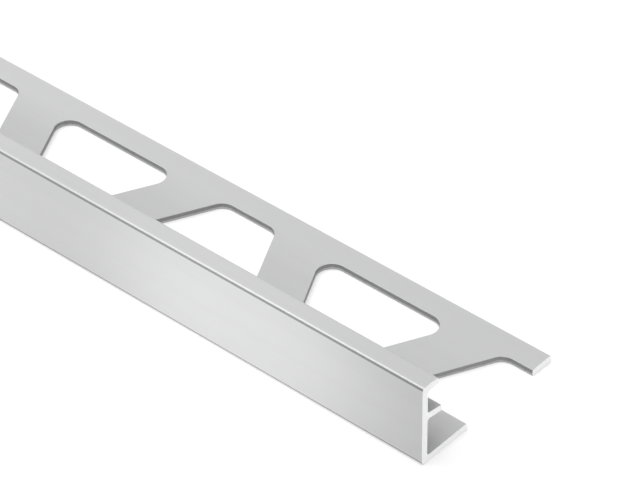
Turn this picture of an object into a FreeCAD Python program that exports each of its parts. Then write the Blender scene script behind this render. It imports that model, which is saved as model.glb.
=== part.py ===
import FreeCAD, Part
import math
import os

# Tile edge trim: one length of extruded aluminium with a punched leg.
# All sizes are in millimetres.
#
# X runs along the trim. The cut end that shows the section clearly is at +X.
# Y runs from the visible face (most negative Y) to the outer edge of the leg.
# Z is zero on the underside of the leg and points up to the top lip.

# The length of stock and its overall section
length = 1000.0
height = 12.5
width = 25.5

# The anchoring leg, which lies in the tile adhesive
leg_thickness = 1.0

# The upright wall, whose outer side is the visible face
wall_thickness = 1.0

# The top lip, which covers the top arris of the tile
lip_reach = 3.0
lip_thickness = 1.0

# The spacer rib, which holds the tile off the wall for the joint. It leans
# down a little towards its free edge.
rib_reach = 3.6
rib_thickness = 1.0
rib_root_below_lip = 3.5
rib_lean = 8.0

# Small roundings of the extruded section
top_arris_radius = 0.4
bottom_arris_radius = 0.5
edge_radius = 0.15
lip_nose_radius = 0.3
inner_corner_radius = 0.4

# The punched holes: rounded trapezoids that point in and out by turns
hole_pitch = 24.0
hole_inset = 8.6
outer_strip = 3.7
web_width = 7.2
web_angle = 26.8
hole_corner_radius = 2.5
punch_clearance = 1.0

# Values that follow from the sizes above
y_face = -width / 2.0
y_wall = y_face + wall_thickness
y_lip = y_face + lip_reach
y_rib = y_face + rib_reach
y_outer = width / 2.0
z_lip = height - lip_thickness
z_root_top = z_lip - rib_root_below_lip
z_root_under = z_root_top - rib_thickness
rib_drop = (y_rib - y_wall) * math.tan(math.radians(rib_lean))
x_end = length / 2.0


def rounded_wire(corners, place):
    """A closed wire of straight lines with a tangent arc at each corner.

    Each corner is (a, b, radius) in the flat drawing, and place puts a
    point of the drawing into space.
    """
    count = len(corners)
    arcs = []
    edges = []
    for i in range(count):
        a, b, radius = corners[i]
        before = corners[i - 1]
        after = corners[(i + 1) % count]
        corner = FreeCAD.Vector(a, b, 0)
        to_before = FreeCAD.Vector(before[0] - a, before[1] - b, 0).normalize()
        to_after = FreeCAD.Vector(after[0] - a, after[1] - b, 0).normalize()
        half = to_before.getAngle(to_after) / 2.0
        reach = radius / math.tan(half)
        inward = (to_before + to_after).normalize()
        start = corner + to_before * reach
        middle = corner + inward * (radius / math.sin(half) - radius)
        end = corner + to_after * reach
        arcs.append((start, middle, end))
    for i in range(count):
        start, middle, end = arcs[i]
        next_start = arcs[(i + 1) % count][0]
        points = [place(p.x, p.y) for p in (start, middle, end)]
        edges.append(Part.Arc(points[0], points[1], points[2]).toShape())
        edges.append(Part.makeLine(points[2], place(next_start.x, next_start.y)))
    return Part.Wire(edges)


# The section, drawn once round from the foot of the visible face
section = [
    (y_face, 0.0, bottom_arris_radius),
    (y_outer, 0.0, edge_radius),
    (y_outer, leg_thickness, edge_radius),
    (y_wall, leg_thickness, inner_corner_radius),
    (y_wall, z_root_under, inner_corner_radius),
    (y_rib, z_root_under - rib_drop, edge_radius),
    (y_rib, z_root_top - rib_drop, edge_radius),
    (y_wall, z_root_top, inner_corner_radius),
    (y_wall, z_lip, inner_corner_radius),
    (y_lip, z_lip, lip_nose_radius),
    (y_lip, height, lip_nose_radius),
    (y_face, height, top_arris_radius),
]


def at_far_end(y, z):
    """A point of the section drawing, on the cut end at -X."""
    return FreeCAD.Vector(-x_end, y, z)


profile = Part.Face(rounded_wire(section, at_far_end))
trim = profile.extrude(FreeCAD.Vector(length, 0, 0))

# One hole is a trapezoid. The webs between the holes are parallel sided, so
# the width of a hole half way across the leg is what a web leaves of the pitch.
y_hole_in = y_face + hole_inset
y_hole_out = y_outer - outer_strip
hole_depth = y_hole_out - y_hole_in
lean = math.radians(web_angle)
middle_width = hole_pitch - web_width / math.cos(lean)
spread = hole_depth * math.tan(lean)
long_side = middle_width + spread
short_side = middle_width - spread


def hole_tool(x_centre, wide_inside):
    """The punch for one hole; its long side is at the wall if wide_inside."""
    inner = long_side / 2.0 if wide_inside else short_side / 2.0
    outer = short_side / 2.0 if wide_inside else long_side / 2.0
    corners = [
        (x_centre - inner, y_hole_in, hole_corner_radius),
        (x_centre + inner, y_hole_in, hole_corner_radius),
        (x_centre + outer, y_hole_out, hole_corner_radius),
        (x_centre - outer, y_hole_out, hole_corner_radius),
    ]

    def under_leg(x, y):
        return FreeCAD.Vector(x, y, -punch_clearance)

    face = Part.Face(rounded_wire(corners, under_leg))
    return face.extrude(FreeCAD.Vector(0, 0, leg_thickness + 2.0 * punch_clearance))


# The row of holes starts half a hole in from the end at +X, where the cut
# goes through the middle of a hole, and runs on past the other end.
hole_count = int((length + long_side / 2.0) / hole_pitch) + 1
punches = []
for number in range(hole_count):
    punches.append(hole_tool(x_end - number * hole_pitch, number % 2 == 0))
trim = trim.cut(punches)
trim = trim.removeSplitter()
if trim.ShapeType == "Compound" and len(trim.Solids) == 1:
    trim = trim.Solids[0]

os.makedirs("parts", exist_ok=True)
trim.exportStep("parts/edge_trim.step")

box = trim.BoundBox
print("solids", len(trim.Solids), "valid", trim.isValid(), "volume", round(trim.Volume, 1))
print("box", round(box.XLength, 3), round(box.YLength, 3), round(box.ZLength, 3))
print("holes", hole_count, "long side", round(long_side, 2), "short side", round(short_side, 2))
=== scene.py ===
# %% [markdown]
# # A tile edge trim in satin aluminium
#
# The object is one length of extruded aluminium. An upright wall is the face that stays visible
# at the edge of the tiles. A flat leg with punched openings lies in the adhesive under them.
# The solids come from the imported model, in metres, with the underside of the leg at z = 0.
# This scene makes a finer surface over them, gives it the finishes of the real metal, and sets
# up the floor, the light and the camera.

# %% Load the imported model
import math
import bmesh
import bpy
from mathutils import Matrix, Vector


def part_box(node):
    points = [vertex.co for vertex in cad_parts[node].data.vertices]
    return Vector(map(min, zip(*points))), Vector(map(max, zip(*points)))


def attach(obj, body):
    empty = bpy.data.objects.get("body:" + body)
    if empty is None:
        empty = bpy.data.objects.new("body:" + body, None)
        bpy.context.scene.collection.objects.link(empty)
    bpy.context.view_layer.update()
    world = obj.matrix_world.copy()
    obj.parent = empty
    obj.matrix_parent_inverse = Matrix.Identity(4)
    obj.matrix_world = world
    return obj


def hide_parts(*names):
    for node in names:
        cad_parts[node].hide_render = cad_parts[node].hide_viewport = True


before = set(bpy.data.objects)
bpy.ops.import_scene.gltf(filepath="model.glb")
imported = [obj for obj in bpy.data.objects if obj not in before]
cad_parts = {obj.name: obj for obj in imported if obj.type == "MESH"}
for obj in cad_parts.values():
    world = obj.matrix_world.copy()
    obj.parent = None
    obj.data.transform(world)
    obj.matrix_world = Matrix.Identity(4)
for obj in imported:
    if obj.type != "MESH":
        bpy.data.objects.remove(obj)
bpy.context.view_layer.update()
low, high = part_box("edge_trim")
print("trim from", [round(v, 4) for v in low], "to", [round(v, 4) for v in high])

# %% [markdown]
# The section of the trim is drawn with the same sizes as the solids. The overall sizes are read
# from the model, so that the surface can't be larger or smaller than it. The small sizes are
# named here: how thick the metal is, how far the lip and the rib reach, and how its corners
# are rounded by the die that it was pressed through.

# %% Sizes of the section
MM = 0.001
length = high.x - low.x
width = high.y - low.y
height = high.z - low.z

leg_thickness = 1.0 * MM
wall_thickness = 1.0 * MM
lip_reach = 3.0 * MM
lip_thickness = 1.0 * MM
rib_reach = 3.6 * MM
rib_thickness = 1.0 * MM
rib_root_below_lip = 3.5 * MM
rib_lean = math.radians(8.0)

top_arris_radius = 0.4 * MM
bottom_arris_radius = 0.5 * MM
edge_radius = 0.15 * MM
lip_nose_radius = 0.3 * MM
inner_corner_radius = 0.4 * MM

y_face = low.y
y_wall = y_face + wall_thickness
y_lip = y_face + lip_reach
y_rib = y_face + rib_reach
y_outer = high.y
z_lip = height - lip_thickness
z_root_top = z_lip - rib_root_below_lip
z_root_under = z_root_top - rib_thickness
rib_drop = (y_rib - y_wall) * math.tan(rib_lean)
print("length", round(length, 3), "width", round(width, 4), "height", round(height, 4))

# %% [markdown]
# The leg is punched in a row of openings that change direction by turns, so that the metal
# left between them forms slanted webs. Each opening is a trapezoid with round corners, which
# are a little tighter here than in the solids, as the photograph shows them. The cut end that
# the camera sees goes through the middle of an opening. Both edges of a punched wall are very
# finely rounded: the one underneath by the punch, which rolled the metal over where it came
# in, and the one on top by the brush that took the sharp edge off.

# %% Sizes of the openings
hole_pitch = 24.0 * MM
hole_inset = 8.6 * MM
outer_strip = 3.7 * MM
web_width = 7.2 * MM
web_angle = math.radians(26.8)
hole_corner_radius = 2.2 * MM
upper_edge_radius = 0.06 * MM
under_edge_radius = 0.05 * MM

y_hole_in = y_face + hole_inset
y_hole_out = y_outer - outer_strip
hole_depth = y_hole_out - y_hole_in
middle_width = hole_pitch - web_width / math.cos(web_angle)
spread = hole_depth * math.tan(web_angle)
long_side = middle_width + spread
short_side = middle_width - spread
print("opening", round(long_side / MM, 1), "by", round(hole_depth / MM, 1), "mm")

# %% [markdown]
# A corner is rounded by an arc that touches both of its sides. One function makes the points
# of such an arc from the corner and its neighbours, and the section and the openings both use
# it. The arcs of the section are small, so six steps are enough for them. The corners of the
# openings are seen large in the picture, so they get sixteen.

# %% A rounded corner
SECTION_STEPS = 6
HOLE_STEPS = 16


def rounded_corner(before, corner, after, radius, steps):
    """Points of the arc that rounds a corner between two straight lines."""
    to_before = (Vector(before) - Vector(corner)).normalized()
    to_after = (Vector(after) - Vector(corner)).normalized()
    half = to_before.angle(to_after) / 2
    centre = Vector(corner) + (to_before + to_after).normalized() * (radius / math.sin(half))
    start = Vector(corner) + to_before * (radius / math.tan(half)) - centre
    end = Vector(corner) + to_after * (radius / math.tan(half)) - centre
    turn = start.angle_signed(end)
    return [centre + Matrix.Rotation(-turn * i / steps, 2) @ start for i in range(steps + 1)]


print("points in a corner of the section", SECTION_STEPS + 1, "of an opening", HOLE_STEPS + 1)

# %% [markdown]
# The surface of the extrusion is two strips that run the whole length. The first starts on
# the leg beside the wall, goes up the wall, round the rib and the lip, down the visible face
# and under it. The second goes round the outer edge of the leg. Between them lie the flat
# top and underside of the leg, with the openings. Each corner is given as y, z and radius.

# %% The two strips of the section
wall_corners = [
    (y_outer, leg_thickness, 0),
    (y_wall, leg_thickness, inner_corner_radius),
    (y_wall, z_root_under, inner_corner_radius),
    (y_rib, z_root_under - rib_drop, edge_radius),
    (y_rib, z_root_top - rib_drop, edge_radius),
    (y_wall, z_root_top, inner_corner_radius),
    (y_wall, z_lip, inner_corner_radius),
    (y_lip, z_lip, lip_nose_radius),
    (y_lip, height, lip_nose_radius),
    (y_face, height, top_arris_radius),
    (y_face, 0, bottom_arris_radius),
    (y_outer, 0, 0),
]
outer_corners = [
    (y_face, 0, 0),
    (y_outer, 0, edge_radius),
    (y_outer, leg_thickness, edge_radius),
    (y_face, leg_thickness, 0),
]


def strip_points(corners):
    """The rounded line through all corners but the first and the last."""
    points = []
    for i in range(1, len(corners) - 1):
        before, corner, after = corners[i - 1], corners[i], corners[i + 1]
        points += rounded_corner(before[:2], corner[:2], after[:2], corner[2], SECTION_STEPS)
    return points


wall_strip = strip_points(wall_corners)
outer_strip_line = strip_points(outer_corners)
print("points in the strips", len(wall_strip), len(outer_strip_line))

# %% [markdown]
# An opening is mirror-symmetric about its centre line, so the leg can be built in equal
# lengths that each run from the middle of one opening to the middle of the next. Each length
# has one web and no hole inside it, only half an opening at each end. The walls of the
# openings are rings that step down from the rounded edge on top to the one underneath. A ring
# is given by how far it stands back from the opening and by its height. Half an opening is
# given by the place of its middle, by its side along X, 1 or -1, and by whether it is wider
# towards the visible face.

# %% Half an opening
ring_arc = [math.radians(a) for a in (0, 30, 60, 90)]
wall_rings = [
    (upper_edge_radius * (1 - math.sin(a)), leg_thickness - upper_edge_radius * (1 - math.cos(a)))
    for a in ring_arc
] + [
    (under_edge_radius * (1 - math.cos(a)), under_edge_radius * (1 - math.sin(a)))
    for a in ring_arc
]


def half_opening(x_centre, side, wide_inside, grow):
    """Half the outline of an opening, from its inner to its outer side, grown by a distance."""
    inner = (long_side if wide_inside else short_side) / 2
    outer = (short_side if wide_inside else long_side) / 2
    corners = [
        (x_centre - side * inner, y_hole_in),
        (x_centre + side * inner, y_hole_in),
        (x_centre + side * outer, y_hole_out),
        (x_centre - side * outer, y_hole_out),
    ]
    points = [Vector((x_centre, y_hole_in))]
    for i in (1, 2):
        neighbours = corners[i - 1], corners[i], corners[(i + 1) % 4]
        points += rounded_corner(*neighbours, hole_corner_radius, HOLE_STEPS)
    points.append(Vector((x_centre, y_hole_out)))
    return grow_outline(points, side, grow)


def grow_outline(points, side, grow):
    """Moves every point of the outline outwards from the opening by the same distance."""
    moved = []
    for i, point in enumerate(points):
        before = points[max(i - 1, 0)]
        after = points[min(i + 1, len(points) - 1)]
        along = (after - before).normalized()
        if i in (0, len(points) - 1):
            along = Vector((side, 0)) if i == 0 else Vector((-side, 0))
        outward = Vector((along.y, -along.x)) * side
        moved.append(point + outward * grow)
    return moved


print("rings in a wall", len(wall_rings))

# %% [markdown]
# Every face is made from its own points in space, and carries the number of the finish that
# it shows. Faces that touch are joined later, where their points meet. The strips are swept
# along X, with one face for each step of the section.

# %% Faces and strips
EXTRUDED, PUNCHED, SAWN, RUBBED, SHADED_FOOT = range(5)


def add_face(mesh, points, finish):
    """One face through points in space, with the finish that it shows."""
    face = mesh.faces.new([mesh.verts.new(p) for p in points])
    face.material_index = finish
    face.smooth = True
    return face


def add_sweep(mesh, line, x_low, x_high):
    """A strip of the section between two places along the trim."""
    for a, b in zip(line, line[1:]):
        quad = [(x_high, *a), (x_low, *a), (x_low, *b), (x_high, *b)]
        add_face(mesh, quad, EXTRUDED)


print("finishes are numbered", EXTRUDED, "to", SHADED_FOOT)

# %% [markdown]
# One length of the trim is made of the walls of two half openings, the flat top and underside
# of the leg between them, and the two strips. The rounding on top of a punched wall is
# brushed, so it has the satin finish of the faces beside it. The wall below it, down to its
# rolled edge, shows punched metal.

# %% One length of the trim
lengths = math.ceil(length / hole_pitch)


def add_wall_band(mesh, half, rings, finish):
    """The faces between two rings in the wall of half an opening."""
    x, side, wide_inside = half
    (grow_above, z_above), (grow_below, z_below) = rings
    above = [(*p, z_above) for p in half_opening(x, side, wide_inside, grow_above)]
    below = [(*p, z_below) for p in half_opening(x, side, wide_inside, grow_below)]
    for i in range(len(above) - 1):
        quad = [above[i], above[i + 1], below[i + 1], below[i]]
        add_face(mesh, quad if side < 0 else quad[::-1], finish)


def add_length(mesh, number):
    """The trim from the middle of one opening to the middle of the next."""
    x_high = high.x - number * hole_pitch
    x_low = x_high - hole_pitch
    wide_at_high = number % 2 == 0
    halves = (x_high, -1, wide_at_high), (x_low, 1, not wide_at_high)
    for step, rings in enumerate(zip(wall_rings, wall_rings[1:])):
        finish = EXTRUDED if step < len(ring_arc) - 1 else PUNCHED
        for half in halves:
            add_wall_band(mesh, half, rings, finish)
    y_edge = outer_strip_line[0].x
    top = (wall_rings[0], wall_strip[0].x, False)
    underside = (wall_rings[-1], wall_strip[-1].x, True)
    for (grow, z), y_inner, flip in (top, underside):
        right, left = [half_opening(*half, grow) for half in halves]
        inner_side = [(x_low, y_inner), (x_high, y_inner)]
        outer_side = [(x_high, y_edge), (x_low, y_edge)]
        points = [(*p, z) for p in (*inner_side, *right, *outer_side, *left[::-1])]
        add_face(mesh, points[::-1] if flip else points, EXTRUDED)
    add_sweep(mesh, wall_strip, x_low, x_high)
    add_sweep(mesh, outer_strip_line, x_low, x_high)


print("lengths in the row", lengths)

# %% [markdown]
# The row of lengths is made a little longer than the trim and is cut off at both ends, as the
# real length was sawn from a longer one. A cut end gets a fine chamfer, because sawn ends are
# deburred.

# %% A sawn end
WELD = 0.002 * MM
deburr = 0.05 * MM


def cut_end(mesh, x, outwards):
    """Saws the row off at x and closes the end with a finely chamfered face."""
    every = mesh.verts[:] + mesh.edges[:] + mesh.faces[:]
    place = Vector((x - outwards * deburr, 0, 0))
    facing = Vector((outwards, 0, 0))
    bmesh.ops.bisect_plane(
        mesh, geom=every, dist=WELD, plane_co=place, plane_no=facing, clear_outer=True
    )
    rim = [e for e in mesh.edges if e.is_boundary and abs(e.verts[0].co.x - place.x) < WELD]
    ends = bmesh.ops.holes_fill(mesh, edges=rim, sides=0)["faces"]
    for face in ends:
        face.material_index = SAWN
        face.smooth = True
    bmesh.ops.inset_individual(mesh, faces=ends, thickness=deburr, use_even_offset=True)
    for vert in {v for f in ends for v in f.verts}:
        vert.co.x += outwards * deburr
    return len(ends)


print("chamfer at the ends", round(deburr / MM, 2), "mm")

# %% [markdown]
# The lengths are joined where they touch, and both ends are sawn. Then two rounded corners get
# finishes of their own: the arris above the visible face is rubbed and carries a painted dark
# line of shade, and the corner under it is painted dark as a contact shadow. The last line
# counts the open edges, of which a closed surface has none.

# %% Build the surface
mesh = bmesh.new()
for number in range(lengths):
    add_length(mesh, number)
bmesh.ops.remove_doubles(mesh, verts=mesh.verts[:], dist=WELD)
print("end faces", cut_end(mesh, high.x, 1), cut_end(mesh, low.x, -1))
bmesh.ops.recalc_face_normals(mesh, faces=mesh.faces[:])
for face in mesh.faces:
    centre = face.calc_center_median()
    at_arris = centre.y < y_face + top_arris_radius and centre.z > height - top_arris_radius
    at_foot = centre.y < y_face + bottom_arris_radius and centre.z < bottom_arris_radius
    if face.material_index == EXTRUDED and at_arris:
        face.material_index = RUBBED
    if face.material_index == EXTRUDED and at_foot:
        face.material_index = SHADED_FOOT
print("faces", len(mesh.faces), "open edges", sum(e.is_boundary for e in mesh.edges))

# %% [markdown]
# All faces are shaded smooth. A plain smooth surface would bend the light across the large
# flats next to each small arc, so the normals are weighted by the area of the faces: the flats
# stay flat, and the arcs turn the light between them.

# %% Make the piece
favour_large_faces = 100

trim_data = bpy.data.meshes.new("trim_surface")
mesh.to_mesh(trim_data)
mesh.free()
trim = bpy.data.objects.new("trim_surface", trim_data)
bpy.context.scene.collection.objects.link(trim)
weighted = trim.modifiers.new("flat sides stay flat", "WEIGHTED_NORMAL")
weighted.weight = favour_large_faces
weighted.keep_sharp = True
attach(trim, "root")
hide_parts("edge_trim")
print("triangles", sum(len(p.vertices) - 2 for p in trim_data.polygons))

# %% [markdown]
# Materials are written as sums. A small class wraps the output of a node, and adding or
# multiplying two of them adds the Math node that does it. Noise goes from 0 to 1, so it is
# often moved down by half, to make something a little more in one place and less in another.

# %% Sums with sockets
NOISE_MIDDLE = 0.5


class Amount:
    """The output of a node, for use in sums."""

    def __init__(self, finish, socket):
        self.finish = finish
        self.socket = socket

    def combine(self, operation, first, second):
        """Adds the Math node that does one operation."""
        return self.finish.node("ShaderNodeMath", {"operation": operation}, {0: first, 1: second})

    def __add__(self, other):
        return self.combine("ADD", self, other)

    __radd__ = __add__

    def __sub__(self, other):
        return self.combine("SUBTRACT", self, other)

    def __rsub__(self, other):
        return self.combine("SUBTRACT", other, self)

    def __mul__(self, other):
        return self.combine("MULTIPLY", self, other)

    __rmul__ = __mul__


def swing(noise):
    """Noise moved down so that its middle is at zero."""
    return noise - NOISE_MIDDLE


# %% [markdown]
# A second class holds one material, or the light of the room. One of its methods makes every
# other kind of node, from its type, its settings and what goes into its sockets. The other
# methods are what the finishes of this metal have in common: noise of a given size, a blend
# of two colours, a soft border between two bands, and a fine relief.

# %% One finish
METRE = 1.0
FINE_DETAIL = 3.0


class Finish:
    """The nodes of one material, or of the room round the object."""

    def __init__(self, owner, shader="Principled BSDF"):
        owner.use_nodes = True
        self.owner = owner
        self.tree = owner.node_tree
        self.shader = self.tree.nodes[shader]

    def fill(self, sockets, values):
        """Sets each socket to its value, or links it to its amount."""
        for key, value in values.items():
            if isinstance(value, Amount):
                self.tree.links.new(value.socket, sockets[key])
            else:
                sockets[key].default_value = value

    def node(self, kind, settings=None, inputs=None, output=0):
        """Adds a node and hands back one of its outputs."""
        made = self.tree.nodes.new(kind)
        for key, value in (settings or {}).items():
            setattr(made, key, value)
        self.fill(made.inputs, inputs or {})
        return Amount(self, made.outputs[output])

    def place(self):
        """The place on the object, in metres."""
        return self.node("ShaderNodeTexCoord", output="Object")

    def part(self, where, axis):
        """The X, Y or Z of a place or a direction."""
        return self.node("ShaderNodeSeparateXYZ", inputs={0: where}, output=axis)

    def grain(self, stretch, detail=2.0, where=None):
        """Noise from 0 to 1, with so many features to the metre in each direction."""
        factors = {0: where or self.place(), 1: stretch}
        spread_out = self.node("ShaderNodeVectorMath", {"operation": "MULTIPLY"}, factors)
        inputs = {"Vector": spread_out, "Scale": 1.0, "Detail": detail}
        return self.node("ShaderNodeTexNoise", inputs=inputs)

    def blend(self, factor, first, second):
        """A colour between two colours."""
        settings = {"data_type": "RGBA", "clamp_factor": True}
        colours = {0: factor, 6: first, 7: second}
        return self.node("ShaderNodeMix", settings, colours, output=2)

    def band(self, value, start, end):
        """0 below the start, 1 above the end, and smooth between them."""
        settings = {"interpolation_type": "SMOOTHSTEP"}
        inputs = {"Value": value, "From Min": start, "From Max": end, "To Min": 0.0, "To Max": 1.0}
        return self.node("ShaderNodeMapRange", settings, inputs)

    def relief(self, depth, height_field):
        """A surface normal tilted by a height from 0 to 1 that stands for a depth in metres."""
        inputs = {"Strength": 1.0, "Distance": depth, "Height": height_field}
        return self.node("ShaderNodeBump", inputs=inputs, output="Normal")

    def dress(self, colour, roughness, relief, metal):
        """Gives the shader its look, and hands the finished material back."""
        values = {"Base Color": colour, "Roughness": roughness, "Normal": relief, "Metallic": metal}
        self.fill(self.shader.inputs, values)
        print("finish", self.owner.name, "has", len(self.tree.nodes), "nodes")
        return self.owner


def evenly(size):
    """Features to the metre for grain of one size in all directions."""
    return (METRE / size,) * 3


def along_trim(spacing, run):
    """Features to the metre for lines along X: long in X and narrow across it."""
    return (METRE / run, METRE / spacing, METRE / spacing)


# %% [markdown]
# The long surfaces were pressed through a die and then finished satin. The die leaves very
# fine lines along the length, which show as faint streaks. The satin finish adds an even fine
# grain and makes the reflections soft. Handling leaves slow, cloudy changes in the gloss. A
# satin skin scatters light almost as paint does, so it is made mostly of base colour, with
# only a small share of the mirror of bare metal.

# %% Extruded satin aluminium
line_spacing = 0.22 * MM
line_run = 180 * MM
band_spacing = 1.8 * MM
band_run = 400 * MM
grain_size = 0.05 * MM
cloud_size = 28.0 * MM

satin_dark = (0.445, 0.446, 0.45, 1)
satin_light = (0.52, 0.521, 0.523, 1)
middle_tone = 0.5
line_share = 0.35
band_share = 0.5
cloud_share = 0.3
satin_roughness = 0.36
cloud_gloss = 0.06
line_gloss = 0.05
satin_relief = 0.0006 * MM
grain_relief = 0.6
satin_metal = 0.15


def extruded_finish():
    finish = Finish(bpy.data.materials.new("satin_extruded_aluminium"))
    lines = finish.grain(along_trim(line_spacing, line_run), FINE_DETAIL)
    bands = finish.grain(along_trim(band_spacing, band_run))
    grain = finish.grain(evenly(grain_size))
    clouds = finish.grain(evenly(cloud_size))
    tone = middle_tone + line_share * swing(lines)
    tone = tone + band_share * swing(bands) + cloud_share * swing(clouds)
    colour = finish.blend(tone, satin_dark, satin_light)
    roughness = satin_roughness + cloud_gloss * swing(clouds) + line_gloss * swing(lines)
    relief = finish.relief(satin_relief, lines + grain_relief * grain)
    return finish.dress(colour, roughness, relief, satin_metal)


extruded = extruded_finish()

# %% [markdown]
# The rounded corner above the visible face is what packing, tools and hands rub most. The top
# of that corner is worn a little brighter and smoother than the flats. Below it a fine dark line
# is painted into the colour: painted shade, standing for the dark reflection of the lower part
# of the corner. Only the faces of the corner carry this finish, and how far a point lies below
# the top decides which of the two it shows.

# %% Rubbed arris with a painted shade line
worn_down_to = 0.08 * top_arris_radius
dark_from = 0.40 * top_arris_radius
rub_spacing = 0.1 * MM
rub_run = 60 * MM
wear_size = 6 * MM

# Painted shade: the dark line under the highlight of the arris is drawn into this colour.
painted_shade_line = (0.22, 0.22, 0.222, 1)
worn_dark = (0.50, 0.50, 0.502, 1)
worn_light = (0.56, 0.56, 0.562, 1)
arris_roughness = 0.40
worn_smoother = 0.08
wear_gloss = 0.05
rub_gloss = 0.04
arris_relief = 0.0003 * MM
arris_metal = 0.2


def rubbed_finish():
    finish = Finish(bpy.data.materials.new("rubbed_arris_with_painted_shade_line"))
    lines = finish.grain(along_trim(rub_spacing, rub_run), FINE_DETAIL)
    wear = finish.grain(evenly(wear_size))
    level = finish.part(finish.place(), "Z")
    worn_above_shade_line = finish.band(level, height - dark_from, height - worn_down_to)
    bright = finish.blend(wear, worn_dark, worn_light)
    # Below the worn top the colour turns to the painted shade line.
    colour = finish.blend(worn_above_shade_line, painted_shade_line, bright)
    roughness = arris_roughness - worn_smoother * worn_above_shade_line
    roughness = roughness + wear_gloss * swing(wear) + rub_gloss * swing(lines)
    relief = finish.relief(arris_relief, lines)
    return finish.dress(colour, roughness, relief, arris_metal)


rubbed = rubbed_finish()

# %% [markdown]
# The rounded corner under the visible face is what the trim stands on. Its colour is painted
# dark as a contact shadow, in patches that vary a little, with a duller gloss. It draws a fine
# dark line along the foot of the bright face. The size of its lines and patches and the depth
# of its relief are those of the arris.

# %% Foot with a painted contact shadow
# Painted shade: these two greys draw a contact shadow along the foot of the face.
painted_shade_dark = (0.20, 0.20, 0.202, 1)
painted_shade_light = (0.26, 0.26, 0.262, 1)
foot_roughness = 0.5
patch_gloss = 0.08


def shaded_foot_finish():
    finish = Finish(bpy.data.materials.new("foot_with_painted_contact_shadow"))
    lines = finish.grain(along_trim(rub_spacing, rub_run), FINE_DETAIL)
    shade_patches = finish.grain(evenly(wear_size))
    colour = finish.blend(shade_patches, painted_shade_dark, painted_shade_light)
    roughness = foot_roughness + patch_gloss * swing(shade_patches)
    relief = finish.relief(arris_relief, lines)
    return finish.dress(colour, roughness, relief, arris_metal)


shaded_foot = shaded_foot_finish()

# %% [markdown]
# A punch first presses the metal smooth and then tears it. It came from below here, so the
# lower part of each wall is a brighter burnished band, and the upper part is a darker torn
# band with short upright furrows. Both bands are also painted darker than the metal is, as
# shade inside the openings. The border between them wanders a little up and down.

# %% Punched walls
furrow_spacing = 0.12 * MM
furrow_height = 1.5 * MM
wander_size = 0.9 * MM
burnish_height = 0.34 * leg_thickness
border_softness = 0.06 * MM
border_wander = 0.25 * MM
border_fray = 0.12 * MM

# Partly painted shade: these greys are burnished and torn metal, and are also set dark as the shade
# inside the openings.
burnished_grey_and_shade = (0.39, 0.39, 0.395, 1)
torn_dark_and_shade = (0.19, 0.19, 0.194, 1)
torn_light_and_shade = (0.35, 0.35, 0.354, 1)
burnished_roughness = 0.28
torn_rougher = 0.34
furrow_gloss = 0.1
furrow_depth = 0.012 * MM
burnished_furrows = 0.3
punched_metal = 1.0


def punched_finish():
    finish = Finish(bpy.data.materials.new("punched_aluminium_edge"))
    upright = (METRE / furrow_spacing, METRE / furrow_spacing, METRE / furrow_height)
    furrows = finish.grain(upright, FINE_DETAIL)
    wander = finish.grain(evenly(wander_size))
    level = finish.part(finish.place(), "Z")
    level = level + border_wander * swing(wander) + border_fray * swing(furrows)
    torn = finish.band(level, burnish_height - border_softness, burnish_height + border_softness)
    torn_colour = finish.blend(furrows, torn_dark_and_shade, torn_light_and_shade)
    colour = finish.blend(torn, burnished_grey_and_shade, torn_colour)
    roughness = burnished_roughness + torn_rougher * torn + furrow_gloss * swing(furrows)
    share = burnished_furrows + (1 - burnished_furrows) * torn
    relief = finish.relief(furrow_depth, furrows * share)
    return finish.dress(colour, roughness, relief, punched_metal)


punched = punched_finish()

# %% [markdown]
# The ends were cut with a fine saw after the finish was on, so they show bare bright metal.
# The teeth leave shallow marks across the section, all in one direction.

# %% Sawn ends
saw_mark_spacing = 0.16 * MM
saw_mark_run = 6 * MM
saw_mark_reach = 2 * MM
saw_slant = math.radians(12)
saw_grain_size = 0.08 * MM

sawn_dark = (0.79, 0.79, 0.792, 1)
sawn_light = (0.90, 0.90, 0.902, 1)
sawn_roughness = 0.48
mark_gloss = 0.12
saw_mark_depth = 0.004 * MM
saw_grain_relief = 0.3
sawn_metal = 0.4


def sawn_finish():
    finish = Finish(bpy.data.materials.new("sawn_aluminium_end"))
    slanted = {"Vector": finish.place(), "Angle": saw_slant}
    turned = finish.node("ShaderNodeVectorRotate", {"rotation_type": "X_AXIS"}, slanted)
    stretch = (METRE / saw_mark_reach, METRE / saw_mark_run, METRE / saw_mark_spacing)
    marks = finish.grain(stretch, FINE_DETAIL, turned)
    grain = finish.grain(evenly(saw_grain_size))
    colour = finish.blend(marks, sawn_dark, sawn_light)
    roughness = sawn_roughness + mark_gloss * swing(marks)
    relief = finish.relief(saw_mark_depth, marks + saw_grain_relief * grain)
    return finish.dress(colour, roughness, relief, sawn_metal)


sawn = sawn_finish()

# %% [markdown]
# Every face already carries the number of its finish. So the materials only have to be added
# in the order of those numbers, which the cell on faces and strips gives.

# %% Give the finishes to the piece
for material in (extruded, punched, sawn, rubbed, shaded_foot):
    trim.data.materials.append(material)
print("finishes", [m.name for m in trim.data.materials])

# %% [markdown]
# The trim lies on a plain white table, which is part of the studio and not of the object. It
# is a light table, as is used for pictures of goods: half of its brightness is a glow of its
# own, so the shadows at the foot of the metal stay light. Its top lies a hair under the metal,
# so that the two surfaces don't share a plane. Far out it curves up into a low wall, as studio
# paper does, so that no horizon shows in low views.

# %% Floor
WHITE = (1, 1, 1, 1)
floor_gap = 0.05 * MM
flat_radius = 12.0
sweep_radius = 2.5
FLOOR_SIDES = 96
SWEEP_STEPS = 12
table_white = (0.465, 0.465, 0.465, 1)
table_roughness = 0.9
table_glow = 0.5


def floor_ring(mesh, radius, z):
    """A circle of points round the middle of the floor."""
    turns = [2 * math.pi * i / FLOOR_SIDES for i in range(FLOOR_SIDES)]
    return [mesh.verts.new((radius * math.cos(a), radius * math.sin(a), z)) for a in turns]


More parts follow.
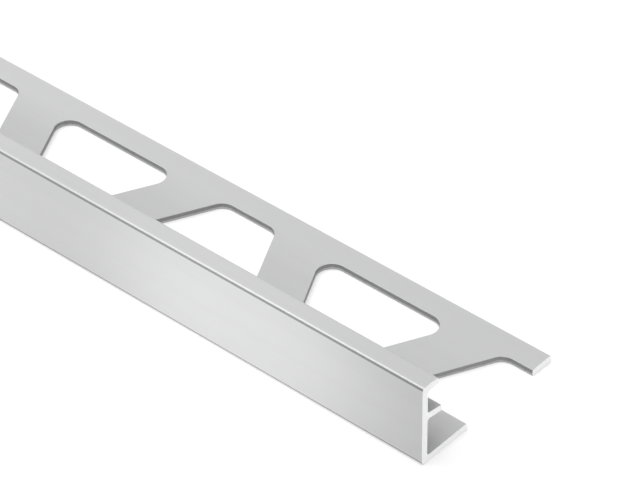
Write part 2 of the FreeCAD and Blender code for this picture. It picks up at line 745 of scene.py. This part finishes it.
def floor_surface():
    """A flat round floor whose rim curves up."""
    surface = bmesh.new()
    level = low.z - floor_gap
    rings = [floor_ring(surface, flat_radius, level)]
    surface.faces.new(rings[0])
    for step in range(1, SWEEP_STEPS + 1):
        turn = math.pi / 2 * step / SWEEP_STEPS
        radius = flat_radius + sweep_radius * math.sin(turn)
        rings.append(floor_ring(surface, radius, level + sweep_radius * (1 - math.cos(turn))))
    for inner, outer in zip(rings, rings[1:]):
        for i in range(FLOOR_SIDES):
            after = (i + 1) % FLOOR_SIDES
            quad = (inner[i], outer[i], outer[after], inner[after])
            surface.faces.new(quad).smooth = True
    data = bpy.data.meshes.new("studio_floor")
    surface.to_mesh(data)
    surface.free()
    return data


def make_floor():
    data = floor_surface()
    floor = bpy.data.objects.new("studio_floor", data)
    bpy.context.scene.collection.objects.link(floor)
    table = Finish(bpy.data.materials.new("white_light_table"))
    matte = {"Base Color": table_white, "Roughness": table_roughness}
    glow = {"Emission Color": WHITE, "Emission Strength": table_glow}
    table.fill(table.shader.inputs, matte | glow)
    data.materials.append(table.owner)
    print("floor faces", len(data.polygons))


make_floor()

# %% [markdown]
# The room is pale overhead and darker towards the floor. Its left side is brighter than its
# right, and its back a little brighter than its front. Under the lip and the rib only the low
# part of the room is seen, so the metal there is darker and the hollow of the section shows.

# %% The room
room_brightness = 0.96
low_brightness = 0.10
low_edge = math.radians(15)
high_edge = math.radians(70)
side_slope = 0.6
front_slope = 0.25


def make_room():
    room = Finish(bpy.data.worlds.new("pale_room"), "Background")
    where = room.node("ShaderNodeTexCoord", output="Generated")
    right, back, rise = (room.part(where, axis) for axis in "XYZ")
    above = room.band(rise, math.sin(low_edge), math.sin(high_edge))
    strength = low_brightness + (room_brightness - low_brightness) * above
    strength = strength * (1 - side_slope * right) * (1 + front_slope * back)
    room.fill(room.shader.inputs, {"Color": WHITE, "Strength": strength})
    bpy.context.scene.world = room.owner
    print("room brightness", low_brightness, "near the floor and", room_brightness, "overhead")


make_room()

# %% [markdown]
# Four lights are added. A wide soft one comes down from the front, like a window, and draws
# the bright line along the arris. A lamp half way up in front makes the metal brighter to the
# left. The wall of the trim stands in its beam, so the leg gets darker towards the lip. A low
# lamp in front has a narrow beam. It brightens the middle of the face that is in the picture
# and fades to both sides, so the face gets darker towards the cut end. A lamp level with that
# end lights it from the right, and it looks almost white beside the satin skin.

# %% The lights
window_direction = Vector((-0.15, -0.26, 0.92)).normalized()
end_lamp_direction = Vector((0.95, -0.02, 0.005)).normalized()
cut_end_middle = Vector((high.x, 0, height / 2))


def add_light(name, kind, place, aim, power, **settings):
    """A light at a place, turned towards what it is aimed at."""
    data = bpy.data.lights.new(name, kind)
    data.energy = power
    for key, value in settings.items():
        setattr(data, key, value)
    light = bpy.data.objects.new(name, data)
    light.location = place
    light.rotation_euler = (Vector(aim) - Vector(place)).to_track_quat("-Z", "Y").to_euler()
    bpy.context.scene.collection.objects.link(light)
    print(name, kind, "power", power)


def add_lamp(name, place, aim, power, beam, softness, size):
    """A round lamp whose beam fades towards its edge."""
    settings = {"spot_size": beam, "spot_blend": softness, "shadow_soft_size": size}
    add_light(name, "SPOT", place, aim, power, **settings)


add_light(
    "window_light",
    "SUN",
    place=window_direction,
    aim=(0, 0, 0),
    power=1.80,
    angle=math.radians(50),
)
add_lamp(
    "front_lamp",
    place=(0.42, -0.49, 0.345),
    aim=(0.362, 0, 0),
    power=6.6,
    beam=math.radians(25),
    softness=0.9,
    size=0.07,
)
add_lamp(
    "face_lamp",
    place=(0.62, -0.55, 0.14),
    aim=(0.470, y_face, height / 2),
    power=6.2,
    beam=math.radians(5.4),
    softness=0.9,
    size=0.01,
)
add_lamp(
    "end_lamp",
    place=cut_end_middle + end_lamp_direction,
    aim=cut_end_middle,
    power=10.4,
    beam=math.radians(14),
    softness=1.0,
    size=0.03,
)

# %% [markdown]
# The camera looks down on the cut end from the side of the visible face. It has a long lens
# and stands close to that end, so the rest of the trim runs out of the picture at the left.
# Its place and direction were found from the straight edges in the photograph.

# %% Camera
camera_place = Vector((0.69291, -0.24781, 0.28371))
camera_forward = Vector((-0.51519, 0.57895, -0.63198)).normalized()
camera_right = Vector((0.75249, 0.65853, -0.01017)).normalized()
camera_lens = 190.3
camera_sensor = 36
nearest_seen = 0.01
farthest_seen = 100


def make_camera():
    data = bpy.data.cameras.new("camera")
    data.lens = camera_lens
    data.sensor_width = camera_sensor
    data.clip_start = nearest_seen
    data.clip_end = farthest_seen
    camera = bpy.data.objects.new("camera", data)
    up = camera_right.cross(camera_forward)
    turn = Matrix((camera_right, up, -camera_forward)).transposed()
    camera.matrix_world = Matrix.Translation(camera_place) @ turn.to_4x4()
    bpy.context.scene.collection.objects.link(camera)
    bpy.context.scene.camera = camera
    print("camera", round((camera_place - cut_end_middle).length, 2), "m from the cut end")


make_camera()
bpy.context.scene.view_settings.view_transform = "Standard"

# %% [markdown]
# The scene is brought up to date at the end.

# %% Update the scene
bpy.context.view_layer.update()
